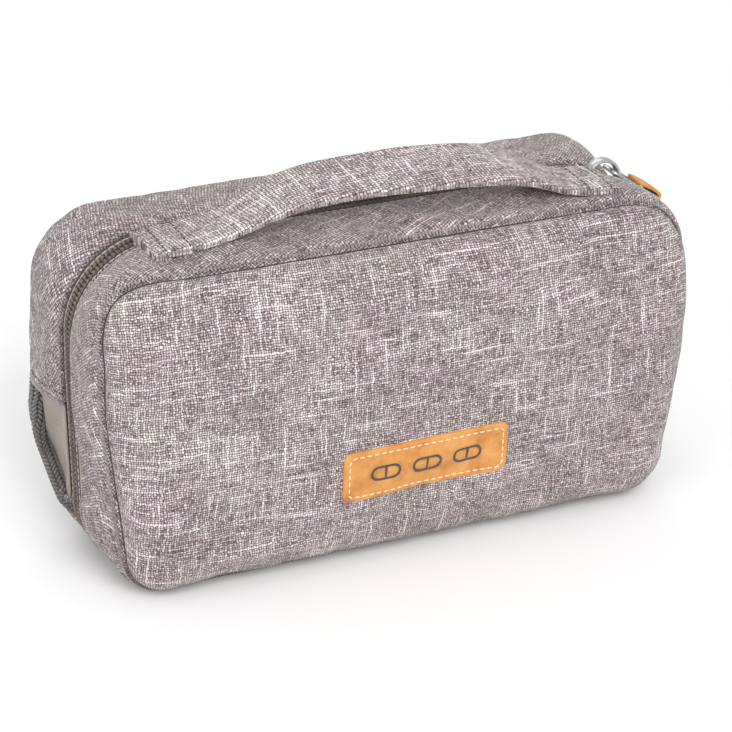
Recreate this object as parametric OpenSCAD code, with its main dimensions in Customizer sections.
// Travel pill organizer: a padded fabric case in two zipped halves, standing on its hinge edge,
// with a strap handle, a leather label and a weekly pill tray inside.
// +Z is up, the front half faces -Y, and the origin is the middle of the resting edge.

/* [Case] */
// Width across the short sides
case_w = 200; // [190:1:230]
// Height from the resting edge to the top gusset
case_h = 109; // [105:1:140]
// Depth from the front panel to the back panel
case_d = 80; // [76:1:110]
// Outline radius at the two top corners
corner_top_r = 30; // [26:1:36]
// Outline radius at the two bottom corners
corner_base_r = 22; // [20:1:26]
// Rounding where a gusset turns into its panel
shoulder_r = 10; // [9:0.5:12]

/* [Layers] */
// Outer fabric thickness
fabric_t = 1.2; // [0.8:0.1:1.2]
// Zip tape thickness
tape_t = 0.8; // [0.5:0.1:0.8]
// Depth of the foam's inner face below the outer face
foam_depth = 6; // [5:0.5:6]
// Lining thickness
lining_t = 0.8; // [0.4:0.1:0.8]

/* [Zip] */
// Half width of the tape left bare between the two fabric edges
zip_gap = 6; // [5.5:0.5:6]
// Half width of the whole tape, under the fabric
tape_half = 14; // [10:1:16]
// Half of the slit between the two tapes
slit_half = 0.3; // [0.3:0.05:0.4]
// Reach of the coil on each side of the slit
coil_reach = 3.2; // [2.4:0.2:3.4]
// Coil thickness under the tape
coil_t = 1.2; // [1:0.1:1.4]
// Half length of the bottom run that has the hinge and no zip
hinge_half = 78; // [60:1:78]
// Where the slider is parked, degrees past the top run
slider_park = 34; // [0:1:40]

/* [Side gussets] */
// Height of the folded hem on the short sides
hem_z = 53; // [45:1:58]
// Width of the folded hem
hem_w = 4; // [3:0.5:6]
// Depth of the smooth side panel below the outer face
recess_d = 2.6; // [2.2:0.1:3]
// Rise of the back half's underside, degrees above level
base_slope = 30; // [20:1:30]

/* [Handle] */
// Webbing width
strap_w = 25; // [20:1:25]
// Strap thickness, two folded layers
strap_t = 2.4; // [2:0.2:3]
// Distance from the middle to each strap end
strap_end = 79; // [78:1:79]
// Rise of the grip above the sewn ends
strap_rise = 12; // [10:1:18]

/* [Label] */
// Label length
label_w = 57.9; // [40:0.1:70]
// Label height
label_h = 18.1; // [12:0.1:24]
// Height of the label's middle
label_z = 36; // [30:1:50]
// Sideways offset of the label
label_x = 3.4; // [-10:0.1:10]

/* [Tray] */
// Columns of compartments, one a day
tray_cols = 7; // [7:1:7]
// Column pitch
col_pitch = 24.4; // [22:0.2:24.4]
// Row pitch
row_pitch = 29.8; // [26:0.1:30]
// Tray wall thickness
wall_t = 1.4; // [1:0.1:1.6]
// Height of the tray's lower wall above the resting edge
tray_z = 28; // [28:0.5:28.5]
// Depth of the tray from rim to back
tray_d = 23.8; // [18:0.1:23.8]
// Lid plate thickness
lid_t = 1.3; // [1:0.1:1.4]

/* [Hidden] */
$fn = 48;

half_w = case_w / 2;
half_d = case_d / 2;
top_x = half_w - corner_top_r;
top_z = case_h - corner_top_r;
base_x = half_w - corner_base_r;
base_z = corner_base_r;
far = 2 * case_w;

// Layer depths below the outer face
tape_in = fabric_t + tape_t;
coil_in = tape_in + coil_t;
lining_in = foam_depth + lining_t;
edge_y = zip_gap + 0.5;
seam_y = half_d - shoulder_r;
pipe_w = 3;
pipe_y = seam_y + pipe_w / 2 + 1;
strip_half = 10;
strip_t = 1;
side_t = 0.8;

// Hook and loop patches behind the tray
patch_w = 100;
patch_h = 32;
patch_t = 1.2;

// Mesh pocket on the front half's lining
pocket_half = 82;
pocket_z = 14;
pocket_h = 58;
pocket_side = 6;
pocket_depth = 4;
net_t = 0.8;
band_h = 8;
band_t = 1.4;
pocket_y = half_d - lining_in - pocket_depth;

// The underside's bottom corners are cut at 45 degrees, just outside the outline's round
cut_w = corner_base_r * (1 - tan(22.5));
slope_y = zip_gap - 0.5;

// Height on the short side at which the underside's corner cut ends, y off the parting plane
function cut_top(y) = (cut_w + (y - slope_y) * sin(base_slope)) / cos(base_slope);

// Side view outlines [y, z] of the smooth panel, of the piping round it and of all above it
pipe_rise = pipe_w / cos(base_slope);
recess_line = [
    [zip_gap, hem_z], [pipe_y - pipe_w, hem_z], [pipe_y - pipe_w, cut_top(pipe_y) + pipe_rise],
    [zip_gap, cut_top(zip_gap) + pipe_rise]
];
piping_line = [
    [zip_gap, hem_z], [pipe_y, hem_z], [pipe_y, cut_top(pipe_y)], [zip_gap, cut_top(zip_gap)]
];
gusset_side = [[-1, cut_top(-1)], [pipe_y, cut_top(pipe_y)], [pipe_y, far], [-1, far]];
tape_window = [[zip_gap - 1, 52], [zip_gap, 52], [13, 46], [13, 32], [zip_gap, 25], [zip_gap - 1, 25]];

// Strap
strap_y = -zip_gap - strap_w / 2;
sewn_len = 13;
leg_out = strap_end - sewn_len;
leg_run = 30;
leg_flat = 2;
grip_half = leg_out - leg_flat - leg_run;
arc_mid_r = (pow(strap_rise, 2) + pow(leg_run, 2)) / (4 * strap_rise);
arc_angle = asin(leg_run / 2 / arc_mid_r);
strap_mid_z = case_h + strap_t / 2;

// Tray
tray_y = 7;
tray_w = tray_cols * col_pitch + wall_t;
tray_h = 2 * row_pitch + wall_t;
tray_top = tray_z + tray_h;
tray_mid = tray_z + tray_h / 2;
floor_t = 1.6;
pin_r = 1;
pin_clear = 0.06;
ear_h = 3.6;
ear_y0 = 3.8;
hinge_y = 5.6;
hinge_rise = 1.7;
barrel_r = 1.5;
lid_w = col_pitch - wall_t - 0.3;

// Slider, in its own frame: x along the zip, z away from the case
plate_len = 11.4;
plate_w = 9.6;
top_plate_z = -fabric_t + 0.1;
top_plate_t = 1.3;
low_plate_t = 1.1;
low_plate_z = -coil_in - 0.7 - low_plate_t;
bail_r = 5.4;
bail_w = 3.2;
link_bar_x = 1.4;
link_bar_z = 2.9;
link_len = 19.3;
wire_w = 1.5;
link_near = 4.3;
link_far = 7;
tab_w = 9.4;
tab_len = 32;
tab_t = 2.6;

// ---------- Shared shapes ----------

// The case's outline, inset by d, drawn as width by height
module outline(d) {
    translate([-top_x, top_z]) square([2 * top_x, corner_top_r - d]);
    translate([-base_x, d]) square([2 * base_x, base_z - d]);
    translate([-half_w + d, base_z]) square([case_w - 2 * d, top_z - base_z]);
    for (s = [-1, 1]) {
        translate([s * top_x, top_z]) circle(corner_top_r - d);
        translate([s * base_x, base_z]) circle(corner_base_r - d);
    }
}

// Section of a gusset and panel: len outwards, depth along the extrusion, far corner rounded
module shoulder_section(len, depth, r) {
    square([len - r, depth]);
    square([len, depth - r]);
    translate([len - r, depth - r]) circle(r);
}

// Solid half case, inset by d all round, from the parting plane to the panel, extruded along +Z
module pillow(d) {
    r = shoulder_r - d;
    depth = half_d - d;
    top_len = corner_top_r - d;
    base_len = corner_base_r - d;
    for (m = [0, 1]) mirror([m, 0, 0]) {
        translate([top_x, top_z, 0]) rotate_extrude(angle = 90) shoulder_section(top_len, depth, r);
        translate([base_x, base_z, 0])
            rotate([0, 0, -90])
                rotate_extrude(angle = 90) shoulder_section(base_len, depth, r);
        translate([top_x, top_z, 0])
            rotate([90, 0, 0])
                linear_extrude(top_z - base_z) shoulder_section(top_len, depth, r);
    }
    translate([-top_x, top_z, 0])
        rotate([90, 0, 90]) linear_extrude(2 * top_x) shoulder_section(top_len, depth, r);
    translate([base_x, base_z, 0])
        rotate([90, 0, -90]) linear_extrude(2 * base_x) shoulder_section(base_len, depth, r);
    translate([-top_x, base_z, 0]) cube([2 * top_x, top_z - base_z, depth]);
}

// Everything above the back half's sloping underside, inset by d
module above_slope(d) {
    flat = half_w - cut_w - d * tan(22.5);
    reach = case_w;
    translate([0, 0, slope_y])
        rotate([-base_slope, 0, 0])
            translate([0, 0, -reach])
                linear_extrude(2 * reach)
                    polygon([
                        [-flat, d], [flat, d], [flat + reach, d + reach],
                        [flat + reach, 2 * reach], [-flat - reach, 2 * reach], [-flat - reach, d + reach]
                    ]);
}

// Layer between depths d0 and d1 below the outer face, from y0 off the parting plane outwards
module shell(d0, d1, y0) {
    difference() {
        pillow(d0);
        pillow(d1);
        translate([-far, -far, -1]) cube([2 * far, 2 * far, y0 + 1]);
    }
}

// The same layer in the back half, whose underside slopes
module back_shell(d0, d1, y0) {
    difference() {
        intersection() {
            pillow(d0);
            above_slope(d0);
        }
        intersection() {
            pillow(d1);
            above_slope(d1);
        }
        translate([-far, -far, -1]) cube([2 * far, 2 * far, y0 + 1]);
    }
}

// Straight ring between depths d0 and d1, from y0 to y1 off the parting plane
module ring(d0, d1, y0, y1) {
    translate([0, 0, y0])
        linear_extrude(y1 - y0)
            difference() {
                outline(d0);
                outline(d1);
            }
}

// Puts a half drawn along +Z in its place: front faces -Y, back faces +Y
module front() {
    rotate([90, 0, 0]) children();
}

module back() {
    mirror([0, 1, 0]) rotate([90, 0, 0]) children();
}

// Side view prism in the lying frame, x across, y up, z off the parting plane
module lying_prism(line) {
    translate([far / 2, 0, 0])
        rotate([0, -90, 0])
            linear_extrude(far) polygon(line);
}

// Block that clears the hinge strip's zone at the bottom, out to depth y1
module hinge_zone(y1) {
    translate([-hinge_half, -1, -1]) cube([2 * hinge_half, base_z - 1, y1 + 1]);
}

module above(z) {
    translate([-far, z, -1]) cube([2 * far, far, far]);
}

module below(z) {
    translate([-far, z - far, -1]) cube([2 * far, far, far]);
}

module one_side(s) {
    translate([s > 0 ? 1 : -far - 1, -far, -1]) cube([far, 2 * far, far]);
}

module zip_tape_half() {
    color([0.36, 0.33, 0.30])
        difference() {
            ring(fabric_t, tape_in, slit_half, tape_half);
            hinge_zone(tape_half + 1);
        }
}

module zip_coil_half() {
    color([0.30, 0.28, 0.26])
        difference() {
            ring(tape_in, coil_in, slit_half, coil_reach);
            translate([-hinge_half - 3, -1, -1]) cube([2 * hinge_half + 6, base_z - 1, far]);
        }
}

module tape_pocket() {
    ring(fabric_t - 1, tape_in, edge_y - 1, tape_half);
}

// ---------- Back half ----------

module back_panel() {
    color([0.60, 0.56, 0.56])
        back()
            difference() {
                back_shell(0, fabric_t, zip_gap);
                lying_prism(gusset_side);
                hinge_zone(strip_half);
            }
}

module back_gusset() {
    color([0.62, 0.58, 0.58])
        back()
            difference() {
                ring(0, fabric_t, zip_gap, pipe_y - pipe_w);
                below(hem_z + hem_w);
            }
}

module gusset_hems() {
    color([0.55, 0.52, 0.52])
        back()
            difference() {
                ring(0, fabric_t, zip_gap, pipe_y - pipe_w);
                above(hem_z + hem_w);
                below(hem_z);
            }
}

module side_panel(s) {
    color([0.50, 0.46, 0.42])
        back()
            intersection() {
                ring(recess_d, recess_d + side_t, edge_y, pipe_y - pipe_w);
                lying_prism(recess_line);
                one_side(s);
            }
}

module side_panel_left() {
    side_panel(-1);
}

module side_panel_right() {
    side_panel(1);
}

module back_piping() {
    color([0.32, 0.31, 0.32])
        back()
            difference() {
                shell(0, fabric_t, pipe_y - pipe_w);
                translate([-far, -far, pipe_y]) cube([2 * far, 2 * far, far]);
                below(hem_z);
            }
}

module side_piping() {
    color([0.32, 0.31, 0.32])
        back()
            difference() {
                intersection() {
                    ring(0, fabric_t, zip_gap, pipe_y);
                    lying_prism(piping_line);
                }
                lying_prism(recess_line);
            }
}

module back_foam() {
    color([0.85, 0.85, 0.84])
        back()
            difference() {
                back_shell(fabric_t, foam_depth, edge_y);
                tape_pocket();
                intersection() {
                    ring(-1, recess_d + side_t, zip_gap, pipe_y - pipe_w);
                    lying_prism(recess_line);
                }
            }
}

module back_lining() {
    color([0.46, 0.42, 0.39]) back() back_shell(foam_depth, lining_in, edge_y);
}

module back_zip_tape() {
    back()
        intersection() {
            zip_tape_half();
            above_slope(fabric_t);
        }
}

module back_zip_coil() {
    back() zip_coil_half();
}

// Two metal clips that close the ends of the coil under the tape
module zip_stops() {
    color([0.72, 0.72, 0.73])
        for (s = [-1, 1])
            translate([s * (hinge_half + 1.4) - 0.9, -coil_reach, tape_in + 0.15])
                cube([1.8, 2 * coil_reach, coil_t]);
}

module hinge_strip() {
    color([0.58, 0.54, 0.54])
        translate([-hinge_half + 0.1, -strip_half, 0])
            cube([2 * hinge_half - 0.2, 2 * strip_half, strip_t]);
}

module tray_loop_patch() {
    color([0.40, 0.38, 0.36])
        translate([-patch_w / 2, half_d - lining_in - patch_t, tray_mid - patch_h / 2])
            cube([patch_w, patch_t, patch_h]);
}

// ---------- Front half ----------

module front_panel() {
    color([0.60, 0.56, 0.56]) front() shell(0, fabric_t, seam_y);
}

module front_gusset() {
    color([0.62, 0.58, 0.58])
        front()
            difference() {
                ring(0, fabric_t, zip_gap, seam_y);
                lying_prism(tape_window);
                hinge_zone(strip_half);
            }
}

module front_foam() {
    color([0.85, 0.85, 0.84])
        front()
            difference() {
                shell(fabric_t, foam_depth, edge_y);
                tape_pocket();
            }
}

module front_lining() {
    color([0.46, 0.42, 0.39]) front() shell(foam_depth, lining_in, edge_y);
}

module front_zip_tape() {
    front() zip_tape_half();
}

module front_zip_coil() {
    front() zip_coil_half();
}

module label_patch() {
    r = 2.5;
    color([0.76, 0.48, 0.24])
        translate([label_x, -half_d, label_z])
            rotate([90, 0, 0])
                linear_extrude(1.2) {
                    square([label_w - 2 * r, label_h], center = true);
                    square([label_w, label_h - 2 * r], center = true);
                    for (sx = [-1, 1], sy = [-1, 1])
                        translate([sx * (label_w / 2 - r), sy * (label_h / 2 - r)]) circle(r);
                }
}

// ---------- Handle ----------

// Extrudes an x by z section across the strap's width
module strap_extrude() {
    translate([0, strap_y + strap_w / 2, 0]) rotate([90, 0, 0]) linear_extrude(strap_w) children();
}

// Part of a flat ring between two radii that lies inside the wedge from angle a0 to a1
module arc_band(r_in, r_out, a0, a1) {
    reach = 2 * r_out;
    intersection() {
        difference() {
            circle(r_out);
            circle(r_in);
        }
        polygon([[0, 0], reach * [cos(a0), sin(a0)], reach * [cos(a1), sin(a1)]]);
    }
}

module handle_end(s) {
    drop = asin((strap_end - top_x) / corner_top_r);
    color([0.58, 0.54, 0.54])
        strap_extrude()
            mirror([s > 0 ? 0 : 1, 0]) {
                translate([leg_out, case_h]) square([top_x - leg_out, strap_t]);
                translate([top_x, top_z])
                    arc_band(corner_top_r, corner_top_r + strap_t, 90 - drop, 90);
            }
}

module handle_end_left() {
    handle_end(-1);
}

module handle_end_right() {
    handle_end(1);
}

module handle_leg(s) {
    inner_r = arc_mid_r - strap_t / 2;
    outer_r = arc_mid_r + strap_t / 2;
    color([0.58, 0.54, 0.54])
        strap_extrude()
            mirror([s > 0 ? 0 : 1, 0]) {
                translate([leg_out - leg_flat, case_h]) square([leg_flat, strap_t]);
                translate([leg_out - leg_flat, strap_mid_z + arc_mid_r])
                    arc_band(inner_r, outer_r, 270 - arc_angle, 270);
                translate([grip_half, strap_mid_z + strap_rise - arc_mid_r])
                    arc_band(inner_r, outer_r, 90 - arc_angle, 90);
            }
}

module handle_leg_left() {
    handle_leg(-1);
}

module handle_leg_right() {
    handle_leg(1);
}

module handle_grip() {
    color([0.58, 0.54, 0.54])
        translate([-grip_half, strap_y - strap_w / 2, case_h + strap_rise])
            cube([2 * grip_half, strap_w, strap_t]);
}

// ---------- Mesh pocket in the front half ----------

module pocket_frame() {
    color([0.30, 0.29, 0.30])
        front()
            translate([0, 0, pocket_y])
                linear_extrude(pocket_depth)
                    difference() {
                        translate([-pocket_half, pocket_z]) square([2 * pocket_half, pocket_h]);
                        translate([-pocket_half + pocket_side, pocket_z + pocket_side])
                            square([2 * (pocket_half - pocket_side), pocket_h]);
                    }
}

module mesh_pocket() {
    color([0.25, 0.25, 0.27])
        front()
            translate([-pocket_half, pocket_z, pocket_y - net_t])
                cube([2 * pocket_half, pocket_h, net_t]);
}

module pocket_elastic() {
    color([0.22, 0.22, 0.24])
        front()
            translate([-pocket_half, pocket_z + pocket_h, pocket_y - 1])
                cube([2 * pocket_half, band_h, band_t]);
}

// ---------- Zip slider, link and tab ----------

// Places a shape drawn in the slider's own frame on the top right corner's arc
module on_corner() {
    translate([top_x, 0, top_z])
        rotate([0, slider_park, 0])
            translate([0, 0, corner_top_r]) children();
}

module plate_outline() {
    nose = 2.6;
    polygon([
        [-plate_len / 2, -plate_w / 2 + nose], [-plate_len / 2 + nose, -plate_w / 2],
        [plate_len / 2 - 1, -plate_w / 2 + 1], [plate_len / 2, -plate_w / 2 + 2],
        [plate_len / 2, plate_w / 2 - 2], [plate_len / 2 - 1, plate_w / 2 - 1],
        [-plate_len / 2 + nose, plate_w / 2], [-plate_len / 2, plate_w / 2 - nose]
    ]);
}

// Two plates joined by a post thin enough to run in the slit, and the bail over the top plate
module zip_slider() {
    bail_z = top_plate_z + top_plate_t;
    color([0.75, 0.75, 0.76])
        on_corner() {
            translate([0, 0, top_plate_z]) linear_extrude(top_plate_t) plate_outline();
            translate([0, 0, low_plate_z]) linear_extrude(low_plate_t) plate_outline();
            translate([-plate_len / 2 + 0.6, -0.25, low_plate_z + 0.5])
                cube([3, 0.5, top_plate_z - low_plate_z]);
            translate([0, bail_w / 2, bail_z])
                rotate([90, 0, 0])
                    linear_extrude(bail_w)
                        intersection() {
                            difference() {
                                circle(bail_r);
                                circle(bail_r - 1.1);
                            }
                            translate([-bail_r, 0]) square([2 * bail_r, bail_r]);
                        }
        }
}

// Outline of the link with cut corners: near half width a, far half width b, from x0 to x1
function link_line(x0, x1, a, b, c) = [
    [x0, a - c], [x0 + c, a], [x1 - c, b], [x1, b - c],
    [x1, -b + c], [x1 - c, -b], [x0 + c, -a], [x0, -a + c]
];

// Flat link, narrow where it passes the bail and wide where it holds the tab
module pull_link() {
    x0 = link_bar_x - wire_w / 2;
    x1 = link_bar_x + link_len + wire_w / 2;
    cut = 1;
    color([0.70, 0.70, 0.71])
        on_corner()
            translate([0, 0, link_bar_z - wire_w / 2])
                linear_extrude(wire_w)
                    difference() {
                        polygon(link_line(x0, x1, link_near, link_far, cut));
                        polygon(link_line(
                            x0 + wire_w, x1 - wire_w, link_near - wire_w, link_far - wire_w, cut / 2
                        ));
                    }
}

// Leather strip folded round the link's far bar, hanging straight down
module pull_tab() {
    bar = [link_bar_x + link_len, link_bar_z + corner_top_r];
    bar_x = top_x + bar[0] * cos(slider_park) + bar[1] * sin(slider_park);
    bar_z = top_z - bar[0] * sin(slider_park) + bar[1] * cos(slider_park);
    end_r = 2;
    hole_r = 0.8 * wire_w;
    root = hole_r + 0.4;
    color([0.78, 0.48, 0.20])
        difference() {
            translate([bar_x, tab_w / 2, bar_z])
                rotate([90, 0, 0]) cylinder(r = hole_r + tab_t / 2, h = tab_w);
            translate([bar_x, tab_w, bar_z])
                rotate([90, 0, 0]) cylinder(r = hole_r, h = 2 * tab_w);
        }
    color([0.78, 0.48, 0.20])
        translate([bar_x - tab_t / 2, 0, bar_z])
            rotate([0, 90, 0])
                linear_extrude(tab_t) {
                    translate([root, -tab_w / 2]) square([tab_len - root - end_r, tab_w]);
                    translate([tab_len - end_r, -tab_w / 2 + end_r])
                        square([end_r, tab_w - 2 * end_r]);
                    for (s = [-1, 1])
                        translate([tab_len - end_r, s * (tab_w / 2 - end_r)]) circle(end_r);
                }
}

// ---------- Pill tray ----------

module pill_tray() {
    axis_y = hinge_y;
    color([0.90, 0.92, 0.95])
        difference() {
            union() {
                translate([-tray_w / 2, tray_y, tray_z]) cube([tray_w, tray_d, tray_h]);
                for (i = [0:tray_cols])
                    translate([-tray_w / 2 + i * col_pitch, ear_y0, tray_z - ear_h])
                        cube([wall_t, 8, ear_h]);
                for (i = [0:tray_cols])
                    translate([-tray_w / 2 + i * col_pitch, ear_y0, tray_top])
                        cube([wall_t, 8, ear_h]);
            }
            for (i = [0:tray_cols - 1], j = [0, 1])
                translate([
                    -tray_w / 2 + wall_t + i * col_pitch, tray_y - 1,
                    tray_z + wall_t + j * row_pitch
                ])
                    cube([col_pitch - wall_t, tray_d + 1 - floor_t, row_pitch - wall_t]);
            for (z = [tray_z - hinge_rise, tray_top + hinge_rise])
                translate([-tray_w / 2 - 1, axis_y, z])
                    rotate([0, 90, 0]) cylinder(r = pin_r + pin_clear, h = tray_w + 2);
        }
}

module tray_hook_patch() {
    color([0.30, 0.29, 0.28])
        translate([-patch_w / 2, tray_y + tray_d, tray_mid - patch_h / 2])
            cube([patch_w, patch_t, patch_h]);
}

// Lid hung from its own pins; side is 1 for the upper row and -1 for the lower row
module lid(col, side) {
    x_mid = -tray_w / 2 + wall_t / 2 + (col - 0.5) * col_pitch;
    pin_len = 0.6;
    reach = row_pitch + wall_t / 2 + hinge_rise - 0.5;
    axis_z = tray_mid + side * (tray_h / 2 + hinge_rise);
    color(side > 0 ? [0.62, 0.78, 0.90] : [0.45, 0.56, 0.74])
        translate([x_mid, hinge_y, axis_z])
            mirror([0, 0, side > 0 ? 0 : 1]) {
                translate([-lid_w / 2, 0, -reach]) cube([lid_w, lid_t, reach]);
                translate([-lid_w / 2, 0, 0]) rotate([0, 90, 0]) cylinder(r = barrel_r, h = lid_w);
                translate([-lid_w / 2 - pin_len - 0.15, 0, 0])
                    rotate([0, 90, 0]) cylinder(r = pin_r, h = lid_w + 2 * pin_len + 0.3);
                translate([-4, -1.5, -reach]) cube([8, 1.5, 1.5]);
            }
}

module lid_upper_1() { lid(1, 1); }
module lid_upper_2() { lid(2, 1); }
module lid_upper_3() { lid(3, 1); }
module lid_upper_4() { lid(4, 1); }
module lid_upper_5() { lid(5, 1); }
module lid_upper_6() { lid(6, 1); }
module lid_upper_7() { lid(7, 1); }
module lid_lower_1() { lid(1, -1); }
module lid_lower_2() { lid(2, -1); }
module lid_lower_3() { lid(3, -1); }
module lid_lower_4() { lid(4, -1); }
module lid_lower_5() { lid(5, -1); }
module lid_lower_6() { lid(6, -1); }
module lid_lower_7() { lid(7, -1); }

back_panel();
back_gusset();
gusset_hems();
side_panel_left();
side_panel_right();
back_piping();
side_piping();
back_foam();
back_lining();
back_zip_tape();
back_zip_coil();
zip_stops();
hinge_strip();
tray_loop_patch();
front_panel();
front_gusset();
front_foam();
front_lining();
front_zip_tape();
front_zip_coil();
label_patch();
handle_end_left();
handle_end_right();
handle_leg_left();
handle_leg_right();
handle_grip();
pocket_frame();
mesh_pocket();
pocket_elastic();
zip_slider();
pull_link();
pull_tab();
pill_tray();
tray_hook_patch();
lid_upper_1();
lid_upper_2();
lid_upper_3();
lid_upper_4();
lid_upper_5();
lid_upper_6();
lid_upper_7();
lid_lower_1();
lid_lower_2();
lid_lower_3();
lid_lower_4();
lid_lower_5();
lid_lower_6();
lid_lower_7();
